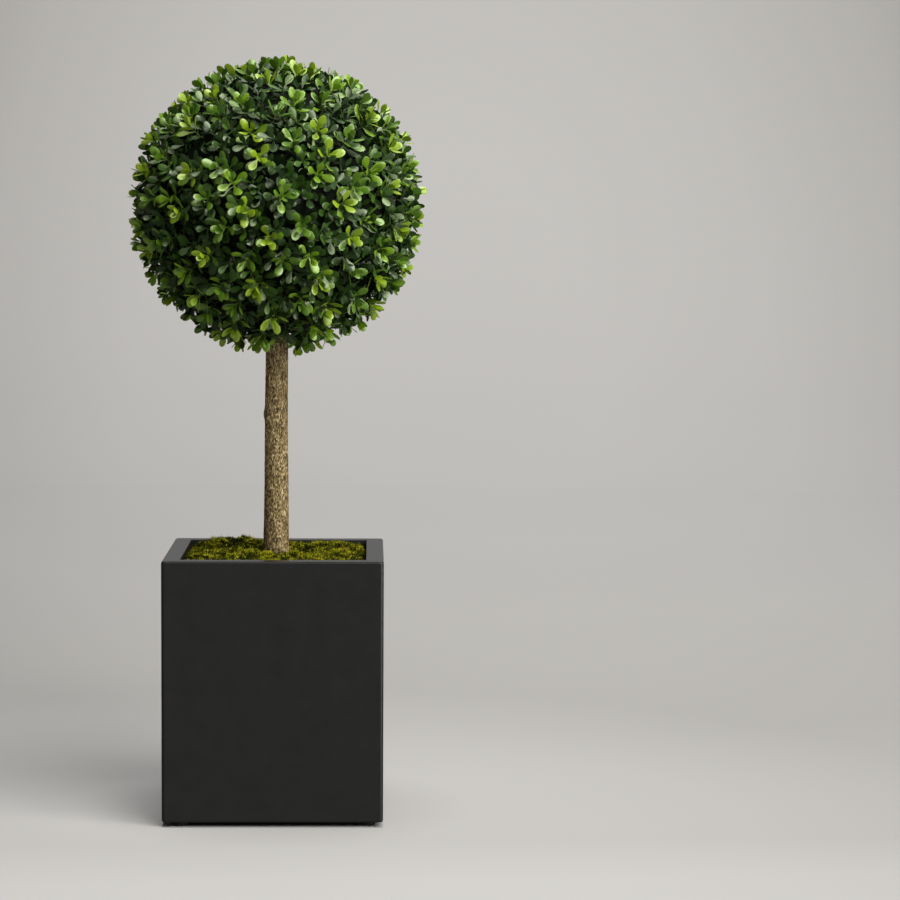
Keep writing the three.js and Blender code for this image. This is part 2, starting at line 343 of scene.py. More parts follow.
def add_bump(tree, shader, height, strength, distance):
    """Roughens a surface by a height, up to a distance in metres."""
    bump = tree.nodes.new("ShaderNodeBump")
    bump.inputs["Strength"].default_value = strength
    bump.inputs["Distance"].default_value = distance
    tree.links.new(height, bump.inputs["Height"])
    tree.links.new(bump.outputs["Normal"], shader.inputs["Normal"])


def planter_material():
    """Satin black composite, faintly mottled, with a fine grain."""
    material, tree, shader = principled("planter_black", (0.0163, 0.0163, 0.0162), 0.30, 0.30)
    dark, light = (0.0148, 0.0148, 0.0147), (0.0178, 0.0178, 0.0177)
    mottling = add_ramp(tree, add_noise(tree, 34, 5), (0.3, dark), (0.7, light))
    tree.links.new(mottling, shader.inputs["Base Color"])
    add_bump(tree, shader, add_noise(tree, 1400, 3), 0.10, 0.0002)
    return material


def foot_material():
    """Dull black rubber."""
    material, tree, shader = principled("foot_black", (0.01, 0.01, 0.01), 0.6, 0.3)
    add_bump(tree, shader, add_noise(tree, 900, 2), 0.2, 0.0002)
    return material


def filling_material():
    """Dark crumbly brown, under the moss."""
    material, tree, shader = principled("filling_brown", (0.02, 0.014, 0.009), 0.95, 0.2)
    grain = add_noise(tree, 160, 6)
    colour = add_ramp(tree, grain, (0.35, (0.008, 0.006, 0.004)), (0.7, (0.035, 0.026, 0.016)))
    tree.links.new(colour, shader.inputs["Base Color"])
    add_bump(tree, shader, grain, 0.8, 0.002)
    return material


def bark_material():
    """Tan bark by the mesh's relief and a finer grain: painted shade in its furrows and painted light on
    its ridges, over its own tones.
    """
    material, tree, shader = principled("bark_tan", (0.2, 0.16, 0.1), 0.8, 0.3)
    relief = tree.nodes.new("ShaderNodeAttribute")
    relief.attribute_name = "relief"
    grain = add_noise(tree, 640, 5, (1, 1, 0.38))
    blend = tree.nodes.new("ShaderNodeMix")
    blend.data_type = "FLOAT"
    blend.inputs["Factor"].default_value = 0.55
    tree.links.new(relief.outputs["Fac"], blend.inputs["A"])
    tree.links.new(grain, blend.inputs["B"])
    # painted shade in the furrows and painted light on the ridges, laid over the bark's own tones
    bark_tone_and_shade = add_ramp(
        tree,
        blend.outputs["Result"],
        (0.34, (0.034, 0.021, 0.006)),
        (0.47, (0.125, 0.085, 0.031)),
        (0.58, (0.268, 0.198, 0.089)),
        (0.70, (0.535, 0.425, 0.237)),
    )
    tree.links.new(bark_tone_and_shade, shader.inputs["Base Color"])
    add_bump(tree, shader, grain, 0.7, 0.0011)
    return material


def plain_material(name, colour, roughness, specular=0.5):
    """One even colour."""
    material, _, _ = principled(name, colour, roughness, specular)
    return material


def moss_mat_material():
    """Very dark olive, as painted shade deep among the tufts, so that the tufts stand out from the mat."""
    material, tree, shader = principled("moss_mat", (0.015, 0.015, 0.003), 0.95, 0.1)
    dark, light = (0.006, 0.006, 0.002), (0.028, 0.028, 0.005)
    colour = add_ramp(tree, add_noise(tree, 240, 6), (0.35, dark), (0.72, light))
    tree.links.new(colour, shader.inputs["Base Color"])
    add_bump(tree, shader, add_noise(tree, 700, 5), 0.8, 0.0015)
    return material


def tuft_materials():
    """The strands' four colours."""
    colours = (
        ("moss_bright", (0.400, 0.410, 0.015)),
        ("moss_olive", (0.104, 0.114, 0.006)),
        ("moss_dark", (0.018, 0.022, 0.002)),
        ("moss_brown", (0.300, 0.200, 0.018)),
    )
    return [plain_material(name, colour, 0.9, 0.02) for name, colour in colours]


def core_material():
    """Nearly black green: painted shade as dark as the deep gaps between the leaves, over the core's own
    dark colour.
    """
    material, tree, shader = principled("core_dark_and_painted_shade", (0.006, 0.010, 0.005), 0.8, 0.1)
    dark, light = (0.003, 0.005, 0.003), (0.009, 0.016, 0.007)
    # painted shade: the near-black of the gaps between the leaves, faintly mottled
    shade = add_ramp(tree, add_noise(tree, 90, 4), (0.35, dark), (0.7, light))
    tree.links.new(shade, shader.inputs["Base Color"])
    return material


def leaf_material(name, colour, specular):
    """A leaf colour, with the pale sheen of a waxy leaf."""
    material, _, shader = principled(name, colour, 0.42, specular)
    shader.inputs["IOR"].default_value = 1.65
    shader.inputs["Specular Tint"].default_value = (0.90, 1.0, 0.70, 1)
    return material


def leaf_materials():
    """The leaves' seven colours, from the lightest to the darkest."""
    looks = (
        ("leaf_lime", (0.235, 0.365, 0.005), 1.0),
        ("leaf_apple", (0.158, 0.295, 0.005), 1.0),
        ("leaf_fern", (0.088, 0.190, 0.004), 1.0),
        ("leaf_grass", (0.037, 0.100, 0.003), 0.9),
        ("leaf_deep", (0.018, 0.056, 0.002), 0.6),
        ("leaf_bluish", (0.013, 0.045, 0.006), 0.9),
        # painted shade: nearly black green for the leaves deep inside the ball
        ("leaf_painted_shade", (0.004, 0.013, 0.001), 0.3),
    )
    return [leaf_material(*look) for look in looks]


# Planter

def square_ring(half_side, corner_radius, height, steps=6):
    """A square with rounded corners, as a ring of points."""
    ring = []
    inner = half_side - corner_radius
    for quarter, (x, y) in enumerate(((1, 1), (-1, 1), (-1, -1), (1, -1))):
        for k in range(steps + 1):
            angle = math.pi / 2 * (quarter + k / steps)
            ring.append(
                (
                    x * inner + corner_radius * math.cos(angle),
                    y * inner + corner_radius * math.sin(angle),
                    height,
                )
            )
    return ring


def make_planter():
    """The square box, lofted from the middle of its underside round its rim to its floor."""
    half = PLANTER_HIGH.x
    bottom, top = PLANTER_LOW.z, PLANTER_HIGH.z
    arris = PLANTER_ARRIS
    opening = half - RIM_WIDTH
    cavity = half - WALL
    under_rim = top - RIM_DEPTH
    inmost = 0.3 * half
    profile = [(inmost, bottom)]
    profile += arc((half - arris, bottom + arris), arris, -90, 0, 5)
    profile += arc((half - arris, top - arris), arris, 0, 90, 5)
    profile += arc((opening + arris / 2, top - arris / 2), arris / 2, 90, 180, 4)
    profile += [(opening, under_rim + RIM_BEVEL), (opening + RIM_BEVEL, under_rim)]
    profile += [(cavity, under_rim), (cavity, bottom + FLOOR), (inmost, bottom + FLOOR)]
    rings = []
    for reach, height in profile:
        inset = half - reach
        outside = reach > opening + arris
        corner = max(PLANTER_CORNER - inset, LEAST_CORNER) if outside else INNER_CORNER
        rings.append(square_ring(reach, corner, height))
    sides = len(rings[0])
    points = [p for ring in rings for p in ring]
    faces = ring_faces(len(rings), sides)
    first = list(range(sides))
    last = [len(points) - sides + s for s in range(sides)]
    faces += [tuple(reversed(first)), tuple(last)]
    piece = make_piece("planter_shell", points, faces, planter_material(), sharp_degrees=50)
    piece.modifiers.new("even_normals", "WEIGHTED_NORMAL").keep_sharp = True
    place_piece(piece, "planter", "planter")


def make_feet():
    """Four round pads with a soft lower edge."""
    material = foot_material()
    for end in ("front", "back"):
        for side in ("left", "right"):
            node = f"foot_{end}_{side}"
            low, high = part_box(node)
            centre = (low + high) / 2
            radius = (high.x - low.x) / 2
            soft_edge = arc((radius - FOOT_EDGE, FOOT_EDGE), FOOT_EDGE, -90, 0, 5)
            profile = [(0, 0), *soft_edge, (radius, high.z), (0, high.z)]
            points, faces = lathe(profile, 40, (centre.x, centre.y))
            piece = make_piece(f"pad_{end}_{side}", points, faces, material, sharp_degrees=40)
            place_piece(piece, "foot", node)


# Moss

def moss_border(angle):
    """How far the bed reaches in a direction: a square with round corners."""
    p = MOSS_SQUARENESS
    return MOSS_HIGH.x / (np.abs(np.cos(angle)) ** p + np.abs(np.sin(angle)) ** p) ** (1 / p)


def moss_top(x, y):
    """The moss's height over each point, by the rule of its solid, with a fuller edge."""
    radius = np.hypot(x, y)
    inward = moss_border(np.arctan2(y, x)) + MOSS_TUFT_BORDER - radius
    rise = smoothstep(inward / MOSS_EDGE_RUN) ** MOSS_EDGE_POWER
    cushions = sum(
        height * np.exp(-(((x - cx) / sx) ** 2) - ((y - cy) / sy) ** 2)
        for cx, cy, height, sx, sy in MOSS_CUSHIONS
    )
    dish = MOSS_DISH_DEPTH * (1 - smoothstep((radius - TRUNK_FOOT_RADIUS) / MOSS_DISH_REACH))
    return MOSS_LOW.z + MOSS_EDGE_HEIGHT + (MOSS_HEIGHT - MOSS_EDGE_HEIGHT + cushions) * rise - dish


def moss_lumps(x, y):
    """Small cushions within the bed, from about -1 to 1."""
    points = [Vector((px, py, 0)) for px, py in zip(np.ravel(x), np.ravel(y))]
    coarse = np.array([noise.noise(p / COARSE_LUMP) for p in points])
    fine = np.array([noise.noise(p / FINE_LUMP + Vector((7, 3, 1))) for p in points])
    return 1.2 * coarse + 0.55 * fine


def make_moss_bed():
    """The dense mat under the tufts, a ring round the trunk."""
    sectors, spans = 160, 34
    hole = TRUNK_FOOT_RADIUS + TRUNK_FLARE + MOSS_HOLE_GAP
    angle = np.arange(sectors) * 2 * math.pi / sectors
    border = moss_border(angle)
    rings = []
    for r in range(spans + 1):
        reach = hole + (border - hole) * (1 - r / spans)
        x, y = reach * np.cos(angle), reach * np.sin(angle)
        height = moss_top(x, y) - MOSS_SINK + MOSS_LUMP_HEIGHT * moss_lumps(x, y)
        rings.append(np.stack([x, y, np.maximum(height, MOSS_LOW.z + MOSS_LEAST)], 1))
    for reach in (np.full(sectors, hole), border):
        x, y = reach * np.cos(angle), reach * np.sin(angle)
        rings.append(np.stack([x, y, np.full(sectors, MOSS_LOW.z)], 1))
    points = np.concatenate(rings)
    faces = ring_faces(len(rings), sectors, closed_along=True)
    piece = make_piece("moss_mat", points, faces, moss_mat_material(), sharp_degrees=60)
    place_piece(piece, "moss", "moss_bed")


def scatter_tufts(rng):
    """The tufts all over the bed: the foot, upward direction, height and tone of each."""
    x, y = rng.uniform(-MOSS_LIMIT, MOSS_LIMIT, (2, 2 * TUFT_COUNT))
    radius = np.hypot(x, y)
    inside = radius < moss_border(np.arctan2(y, x)) + MOSS_TUFT_BORDER
    inside &= radius > TRUNK_FOOT_RADIUS + TUFT_TRUNK_GAP
    x, y = x[inside][:TUFT_COUNT], y[inside][:TUFT_COUNT]
    lumps = moss_lumps(x, y)
    step = 0.002
    slope_x = (moss_top(x + step, y) - moss_top(x - step, y)) / (2 * step)
    slope_y = (moss_top(x, y + step) - moss_top(x, y - step)) / (2 * step)
    up = unit(np.stack([-slope_x, -slope_y, np.full(len(x), TUFT_UPRIGHTNESS)], 1))
    raised = MOSS_LUMP_HEIGHT * lumps + rng.normal(0, TUFT_RISE_SPREAD, len(x))
    foot = np.stack([x, y, moss_top(x, y) - MOSS_SINK + raised], 1)
    # painted light and shade: tufts on the lumps lighter and in the hollows darker, plus a random tone by
    # tuft
    tone = LUMP_LIGHT_AND_SHADE * lumps + rng.normal(0, TUFT_TONE_SPREAD, len(x))
    tall = rng.uniform(*TUFT_HEIGHTS, len(x)) * (1 + TUFT_LUMP_GROWTH * lumps)
    return foot, up, tall, tone


def grow_strands(rng, foot, up, tall, tone):
    """Each tuft's strands, as slim pyramids of four points, and the number of each strand's colour.

    A tuft is a small dome: its middle strands stand up, and its outer ones lean away and are painted
    darker as shade.
    """
    tufts, strands = len(foot), TUFT_STRANDS
    outward = np.tile(np.sqrt((np.arange(strands) + 0.5) / strands), tufts)
    turn = np.tile(np.arange(strands) * GOLDEN_ANGLE, tufts)
    turn = turn + np.repeat(rng.uniform(0, 7, tufts), strands)
    spread = np.stack([np.cos(turn), np.sin(turn), np.zeros(len(turn))], 1) * outward[:, None]
    stray = rng.normal(0, STRAND_LEAN_SPREAD, spread.shape)
    lean = unit(np.repeat(up, strands, 0) + STRAND_SPLAY * spread + stray)
    root = np.repeat(foot, strands, 0) + TUFT_FOOT_RADIUS * spread
    length = np.repeat(tall, strands) * rng.uniform(*STRAND_LENGTHS, len(lean))
    length[rng.random(len(lean)) < LONG_STRAND_SHARE] *= LONG_STRAND_GROWTH
    tip = root + lean * length[:, None]
    tip[:, :2] = np.clip(tip[:, :2], -MOSS_LIMIT, MOSS_LIMIT)

    # painted shade: strands darker towards the tuft's edge, where they lean away
    painted_edge_shade = TUFT_EDGE_SHADE * (TUFT_TONE_PLACE - outward)
    tone = np.repeat(tone, strands) + painted_edge_shade + rng.normal(0, STRAND_TONE_SPREAD, len(lean))
    bright, olive, dark, brown = range(4)
    kind = np.select([tone > BRIGHT_TONE, tone > OLIVE_TONE], [bright, olive], dark)
    kind[(rng.random(len(kind)) < BROWN_STRAND_SHARE) & (kind != dark)] = brown

    side = unit(np.cross(lean, (0.31, 0.17, 0.93)))
    other = np.cross(lean, side)
    thick = rng.uniform(*STRAND_THICKNESSES, len(lean))[:, None]
    corners = [
        root + thick * (math.cos(angle) * side + math.sin(angle) * other)
        for angle in (0, 2 * math.pi / 3, 4 * math.pi / 3)
    ]
    return np.stack([*corners, tip], 1), kind


def make_moss_tufts():
    """The tufts' strands, joined into one piece for each colour."""
    rng = np.random.default_rng(41)
    points, kind = grow_strands(rng, *scatter_tufts(rng))
    pyramid = np.array([(0, 2, 1), (0, 1, 3), (1, 2, 3), (2, 0, 3)])
    for index, material in enumerate(tuft_materials()):
        chosen = points[kind == index]
        faces = (pyramid[None] + 4 * np.arange(len(chosen))[:, None, None]).reshape(-1, 3)
        piece = make_piece(material.name + "_tufts", chosen, faces.tolist(), material)
        place_piece(piece, "moss")


# Trunk

def trunk_radius(height, angle):
    """The trunk's own outline, by the rule of its solid."""
    above_foot = height - TRUNK_LOW.z
    climbed = min(1, above_foot / (BALL_UNDERSIDE - TRUNK_LOW.z))
    taper = (TRUNK_FOOT_RADIUS - TRUNK_NECK_RADIUS) * (1 - climbed) ** TRUNK_TAPER_POWER
    flare = TRUNK_FLARE * math.exp(-above_foot / TRUNK_FLARE_RISE)
    twist = height / TRUNK_LOBE_PITCH
    lobes = math.sin(2 * angle + twist) + 0.6 * math.sin(3 * angle - 2 * twist)
    turned = math.remainder(angle - KNOT_AZIMUTH, 2 * math.pi)
    away = ((height - KNOT_HEIGHT) / KNOT_RISE) ** 2 + (turned / KNOT_TURN) ** 2
    return (TRUNK_NECK_RADIUS + taper) * (1 + TRUNK_LOBES * lobes) + flare + KNOT_BULGE * math.exp(-away)


def trunk_axis(height):
    """Where the trunk's middle is along X, as it leans towards the ball's centre."""
    return BALL_CENTRE.x * (height - TRUNK_LOW.z) / (BALL_CENTRE.z - TRUNK_LOW.z)


def bark_relief(angle, height):
    """Ridges that run up the stem, wander and break, from 0 in a furrow to 1 on a ridge."""
    along = height / BARK_WANDER_LENGTH
    wander = BARK_WANDER * noise.noise(Vector((math.cos(angle), math.sin(angle), along)))
    turned = angle + wander
    around = Vector((math.cos(turned), math.sin(turned), 0)) * TRUNK_NECK_RADIUS
    relief = BARK_MEAN
    for strength, width, length, shift in BARK_PATTERNS:
        relief += strength * noise.noise(around / width + Vector((*shift, height / length)))
    return min(1, max(0, relief))


def make_trunk():
    """The stem with its bark's relief, from its flat foot in the moss to its tip in the ball."""
    sectors, stations = 150, 440
    points, relief = [], []
    for k in range(stations + 1):
        height = TRUNK_LOW.z + (TRUNK_HIGH.z - TRUNK_LOW.z) * k / stations
        middle = trunk_axis(height)
        for s in range(sectors):
            angle = 2 * math.pi * s / sectors
            raised = bark_relief(angle, height)
            radius = trunk_radius(height, angle) + BARK_DEPTH * (raised - BARK_LEVEL)
            points.append((middle + radius * math.cos(angle), radius * math.sin(angle), height))
            relief.append(raised)
    faces = ring_faces(stations + 1, sectors)
    first = list(range(sectors))
    last = [len(points) - sectors + s for s in range(sectors)]
    faces += [tuple(reversed(first)), tuple(last)]
    piece = make_piece("trunk_bark", points, faces, bark_material(), sharp_degrees=75)
    piece.data.attributes.new("relief", "FLOAT", "POINT").data.foreach_set("value", relief)
    place_piece(piece, "bark", "trunk")


# Foliage

def spiral_directions(count, start=0.0):
    """Even directions on a sphere, by the golden spiral."""
    index = np.arange(count)
    up = 1 - 2 * (index + 0.5) / count
    level = np.sqrt(1 - up**2)
    turn = index * GOLDEN_ANGLE + start
    return np.stack([level * np.cos(turn), level * np.sin(turn), up], 1)


def unit(vectors):
    """The same directions at length 1."""
    return vectors / np.linalg.norm(vectors, axis=-1, keepdims=True)


def across(axes):
    """Two directions square to each axis and to each other."""
    helper = np.where(np.abs(axes[:, 2:]) < 0.9, [[0.0, 0.0, 1.0]], [[1.0, 0.0, 0.0]])
    side = unit(np.cross(helper, axes))
    return side, np.cross(axes, side)


def leaf_half_width(share):
    """Half the width of a spoon-shaped leaf, as a share of its width, along its length."""
    stalk, stalk_end, widest = 0.065, 0.18, 0.66
    swell = np.sin(np.clip((share - stalk_end) / (widest - stalk_end), 0, 1) * math.pi / 2) ** 1.6
    rounding = np.sqrt(np.clip(1 - ((share - widest) / (1 - widest)) ** 2, 0, 1))
    return np.where(share < widest, stalk + (0.5 - stalk) * swell, 0.5 * rounding)


def leaf_template(stations, section):
    """A closed leaf of unit length and width: its points' (x, y, lift, cup, under), and its triangles.

    The section lists the points across its upper skin as (place from -1 to 1, lift); its under skin has
    one, so the two meet in the leaf's edges. The first station is the cut end of the stalk, and the last
    point is the tip.
    """
    points, faces = [], []
    spans = len(section) - 1
    for share in stations:
        half = float(leaf_half_width(np.array(share)))
        for place, lift in section:
            points.append((share, half * place, 2 * half * lift, (2 * half * place) ** 2, 0))
        points.append((share, 0, 0, 0, 1))
    row = spans + 2
    tip = len(points)
    points.append((1, 0, section[0][1], 0, 0))
    under = spans + 1
    for i in range(len(stations) - 1):
        a, b = i * row, (i + 1) * row
        for k in range(spans):
            faces += [(a + k, b + k, b + k + 1), (a + k, b + k + 1, a + k + 1)]
        faces += [(a, a + under, b + under), (a, b + under, b)]
        faces += [(a + under, a + spans, b + spans), (a + under, b + spans, b + under)]
    a = (len(stations) - 1) * row
    faces += [(a + k, tip, a + k + 1) for k in range(spans)]
    faces += [(a, a + under, tip), (a + under, a + spans, tip)]
    faces += [(k, k + 1, under) for k in range(spans)]
    return np.array(points), np.array(faces)


# Box leaves are nearly flat, with a slight groove along the midrib and their rims turned down.
FINE_LEAF = leaf_template(
    (0, 0.24, 0.42, 0.60, 0.80, 0.94), ((-1, -0.055), (-0.70, 0.0), (0, -0.012), (0.70, 0.0), (1, -0.055))
)
MIDDLE_LEAF = leaf_template((0, 0.30, 0.56, 0.80, 0.94), ((-1, -0.05), (-0.35, 0), (0.35, 0), (1, -0.05)))
PLAIN_LEAF = leaf_template((0, 0.26, 0.50, 0.76, 0.94), ((-1, -0.06), (0, 0.02), (1, -0.06)))
LEAF_THICKNESS = 0.085  # of its width


def leaf_points(template, root, blade, normal, length, width, cup, bend):
    """Every leaf's points: the template scaled, cupped and bent, from its root along its blade."""
    side = np.cross(normal, blade)
    x, y, lift, rim, under = template.T[:, None, :]
    height = (lift + cup[:, None] * rim - LEAF_THICKNESS * under * smoothstep(0.3 + x)) * width[:, None]
    height = height - bend[:, None] * length[:, None] * x**2
    return (
        root[:, None]
        + (x * length[:, None])[..., None] * blade[:, None]
        + (y * width[:, None])[..., None] * side[:, None]
        + height[..., None] * normal[:, None]
    )


class Layer:
    """One layer of sprigs: how many, how far out, and what each pair of leaves is like."""

    def __init__(self, name, count, start, reach, template, pairs, colours, tilt, stem):
        self.name = name
        self.count = count
        self.start = start  # the angle at which the spiral of its sprigs starts
        self.reach = reach  # how far out the furthest leaf of a sprig comes, at least and at most
        self.template = template
        self.pairs = pairs  # below the tip, incline in degrees, length, width, colour group
        self.colours = colours  # colour group: materials, dealt out by sprig
        self.tilt = tilt  # how far its sprigs stray from pointing straight out
        self.stem = stem


def grow_pairs(layer, rng, axis):
    """The layer's leaves in rows, one leaf of each sprig to a row, about the sprigs' own tips."""
    u, v = across(axis)
    phase = rng.uniform(0, math.pi, layer.count)
    size = rng.uniform(*SPRIG_SIZES, layer.count)
    rows = []
    for level, (below, incline, length, width, group) in enumerate(layer.pairs):
        for opposite in (0, math.pi):
            stray = rng.normal(0, LEAF_TURN_SPREAD, layer.count)
            azimuth = phase + level * math.pi / 2 + opposite + stray
            lean = np.radians(incline + rng.normal(0, LEAF_INCLINE_SPREAD, layer.count))
            out = np.cos(azimuth)[:, None] * u + np.sin(azimuth)[:, None] * v
            blade = np.cos(lean)[:, None] * axis + np.sin(lean)[:, None] * out
            normal = np.sin(lean)[:, None] * axis - np.cos(lean)[:, None] * out
            twist = rng.normal(0, LEAF_TWIST_SPREAD, layer.count)[:, None]
            normal = unit(normal + twist * np.cross(normal, blade))
            grown = length * size * rng.uniform(*LEAF_SIZES, layer.count)
            root = -axis * (below * size)[:, None]
            cup = rng.normal(0.0, LEAF_CUP_SPREAD, layer.count)
            bend = rng.normal(LEAF_BEND, LEAF_BEND_SPREAD, layer.count)
            points = leaf_points(layer.template[0], root, blade, normal, grown, width * grown, cup, bend)
            rows.append((points, group))
    return rows


def tip_distance(rows, aim, wanted):
    """How far out each sprig's tip is, so that its furthest leaf comes as far out as wanted.

    The distance is put right by what it misses, a few times over.
    """
    ends = np.concatenate([points for points, _ in rows], 1)
    out = wanted.copy()
    for _ in range(4):
        out += wanted - np.linalg.norm(ends + (aim * out[:, None])[:, None], axis=2).max(1)
    return out


def deal_leaves(layer, rows, tip):
    """The leaves in their places, without those that would touch the trunk, by material."""
    leaves = {}
    for points, group in rows:
        placed = points + tip[:, None]
        kept = clear_of_trunk(placed)
        materials = layer.colours[group]
        dealt = (np.arange(layer.count) * 7 + 3 * group) % len(materials)
        for index, material in enumerate(materials):
            chosen = placed[kept & (dealt == index)]
            leaves.setdefault(material.name, (material, []))[1].append(chosen)
    return leaves


def grow_layer(layer, rng):
    """The leaves of a layer, by material, and its twigs as starts, tips and axes."""
    aim = spiral_directions(layer.count, layer.start)
    aim = unit(aim + rng.normal(0, AIM_SPREAD, aim.shape))
    forks = spiral_directions(FORK_COUNT)
    fork = forks[np.argmax(aim @ forks.T, axis=1)] * FORK_RADIUS
    axis = unit(aim + rng.normal(0, layer.tilt, aim.shape) + (0, 0, SPRIG_LIFT))
    rows = grow_pairs(layer, rng, axis)
    wanted = rng.uniform(*layer.reach, layer.count)
    centre = np.array(LEAF_CENTRE)
    tip = centre + aim * tip_distance(rows, aim, wanted)[:, None]
    rooted = clear_of_trunk(tip[:, None])
    return deal_leaves(layer, rows, tip), (centre + fork)[rooted], tip[rooted], axis[rooted]


def clear_of_trunk(points):
    """Which leaves, given as rows of points, stay clear of the trunk."""
    away = np.hypot(points[..., 0] - trunk_axis(points[..., 2]), points[..., 1])
    return ((away > TRUNK_NECK_RADIUS + LEAF_TRUNK_GAP) | (points[..., 2] > BALL_CENTRE.z)).all(1)


def make_leaves(layer, leaves):
    """One joined piece for each material of a layer."""
    corners = len(layer.template[0])
    for material, groups in leaves.values():
        points = np.concatenate(groups)
        shift = corners * np.arange(len(points))[:, None, None]
        faces = (layer.template[1][None] + shift).reshape(-1, 3).tolist()
        piece = make_piece(f"{layer.name}_{material.name}", points, faces, material, sharp_degrees=55)
        place_piece(piece, "foliage")


def make_twigs(name, start, tip, axis, material):
    """Curved tapering twigs with five sides, from their forks to their tips."""
    sides, spans = 5, 4
    reach = np.linalg.norm(tip - start, axis=1)[:, None]
    control = tip - axis * reach * 0.5
    rings = []
    for k in range(spans + 1):
        t = k / spans
        middle = (1 - t) ** 2 * start + 2 * t * (1 - t) * control + t**2 * tip
        along = unit(2 * (1 - t) * (control - start) + 2 * t * (tip - control))
        u, v = across(along)
        radius = TWIG_FOOT_RADIUS + (TWIG_TIP_RADIUS - TWIG_FOOT_RADIUS) * t
        for s in range(sides):
            turn = 2 * math.pi * s / sides
            rings.append(middle + radius * (math.cos(turn) * u + math.sin(turn) * v))
    points = np.stack(rings, 1)
    faces = np.array(
        [
            corner
            for low, after, high, other in ring_faces(spans + 1, sides)
            for corner in ((low, after, high), (low, high, other))
        ]
        + [(0, s + 1, s) for s in range(1, sides - 1)]
        + [(spans * sides, spans * sides + s, spans * sides + s + 1) for s in range(1, sides - 1)]
    )
    shift = points.shape[1] * np.arange(len(points))[:, None, None]
    joined = (faces[None] + shift).reshape(-1, 3)
    piece = make_piece(name, points, joined.tolist(), material)
    place_piece(piece, "foliage")


def make_core():
    """The moulded core inside the leaves, dark with painted shade, with a socket for the trunk."""
    socket = TRUNK_NECK_RADIUS + SOCKET_GAP
    lowest = -math.degrees(math.acos(socket / CORE_RADIUS))
    tip = TRUNK_HIGH.z + SOCKET_TIP_GAP
    profile = [(0, tip), (socket, tip)]
    profile += arc((0, BALL_CENTRE.z), CORE_RADIUS, lowest, 88, 46)
    profile += [(0, BALL_CENTRE.z + CORE_RADIUS)]
    points, faces = lathe(profile, 96, (BALL_CENTRE.x, 0))
    moved = []
    for point in points:
        away = Vector(point) - BALL_CENTRE
        outside = away.length > CORE_RADIUS - 0.002
        dent = CORE_DENT * noise.noise(away / 0.02) if outside else 0
        moved.append(Vector(point) + away.normalized() * dent)
    piece = make_piece("foliage_core", moved, faces, core_material(), sharp_degrees=60)
    place_piece(piece, "foliage", "foliage_ball")


def foliage_layers():
    """Bright sprigs outside, and darker ones between and under them, partly the older leaves' own green
    and partly painted shade.
    """
    lime, apple, fern, grass, deep, bluish, shade = leaf_materials()
    green_twig = plain_material("twig_green", (0.130, 0.190, 0.018), 0.5)
    brown_twig = plain_material("twig_brown", (0.024, 0.030, 0.010), 0.7)

    bright_pairs = (
        (0.0000, 16, 0.021, 0.50, 0),
        (0.0020, 34, 0.026, 0.46, 0),
        (0.0060, 50, 0.029, 0.44, 0),
        (0.0115, 63, 0.030, 0.43, 1),
        (0.0180, 76, 0.029, 0.44, 2),
        (0.0250, 86, 0.027, 0.45, 2),
    )
    bright = Layer(
        name="bright",
        count=200,
        start=0.0,
        reach=(0.2410, 0.2472),
        template=FINE_LEAF,
        pairs=bright_pairs,
        colours={0: [lime, apple, fern, lime, fern], 1: [apple, fern], 2: [grass, deep, fern]},
        tilt=0.16,
        stem=green_twig,
    )

    dark_pairs = (
        (0.0000, 32, 0.021, 0.48, 0),
        (0.0030, 52, 0.025, 0.46, 0),
        (0.0080, 66, 0.027, 0.45, 0),
        (0.0140, 78, 0.027, 0.45, 1),
        (0.0210, 89, 0.026, 0.46, 1),
    )
    dark = Layer(
        name="dark",
        count=440,
        start=0.7,
        reach=(0.2300, 0.2395),
        template=MIDDLE_LEAF,
        pairs=dark_pairs,
        colours={0: [deep, bluish, grass, bluish, deep], 1: [deep, bluish, shade]},
        tilt=0.20,
        stem=brown_twig,
    )

    inner_pairs = (
        (0.0000, 30, 0.022, 0.46, 0),
        (0.0050, 52, 0.027, 0.47, 0),
        (0.0120, 70, 0.028, 0.47, 1),
        (0.0200, 84, 0.026, 0.48, 1),
    )
    inner = Layer(
        name="inner",
        count=440,
        start=1.3,
        reach=(0.212, 0.230),
        template=PLAIN_LEAF,
        pairs=inner_pairs,
        colours={0: [deep, bluish, shade], 1: [shade, deep]},
        tilt=0.35,
        stem=brown_twig,
    )

    under_pairs = (
        (0.0000, 35, 0.024, 0.55, 0),
        (0.0060, 60, 0.027, 0.55, 0),
        (0.0130, 80, 0.027, 0.55, 0),
    )
    under = Layer(
        name="under",
        count=150,
        start=2.1,
        reach=(0.206, 0.216),
        template=PLAIN_LEAF,
        pairs=under_pairs,
        colours={0: [shade]},
        tilt=0.4,
        stem=brown_twig,
    )
    return bright, dark, inner, under


def make_foliage():
    """The clipped ball: its core, and the layers of sprigs round it."""
    make_core()
    rng = np.random.default_rng(2026)
    for layer in foliage_layers():
        leaves, start, tip, axis = grow_layer(layer, rng)
        make_leaves(layer, leaves)
        make_twigs(layer.name + "_twigs", start, tip, axis, layer.stem)


# Stage, light and camera

def add_glow(tree, centre, reach, stops):
    """A value by nearness to a place: 1 is at the place and 0 is at the reach or beyond."""
    place = tree.nodes.new("ShaderNodeTexCoord")
    mapping = tree.nodes.new("ShaderNodeMapping")
    mapping.vector_type = "TEXTURE"
    mapping.inputs["Location"].default_value = centre
    mapping.inputs["Scale"].default_value = reach
    nearness = tree.nodes.new("ShaderNodeTexGradient")
    nearness.gradient_type = "SPHERICAL"
    tree.links.new(place.outputs["Object"], mapping.inputs["Vector"])
    tree.links.new(mapping.outputs["Vector"], nearness.inputs["Vector"])
    greys = [(at, (value, value, value)) for at, value in stops]
    return add_ramp(tree, nearness.outputs["Fac"], *greys)


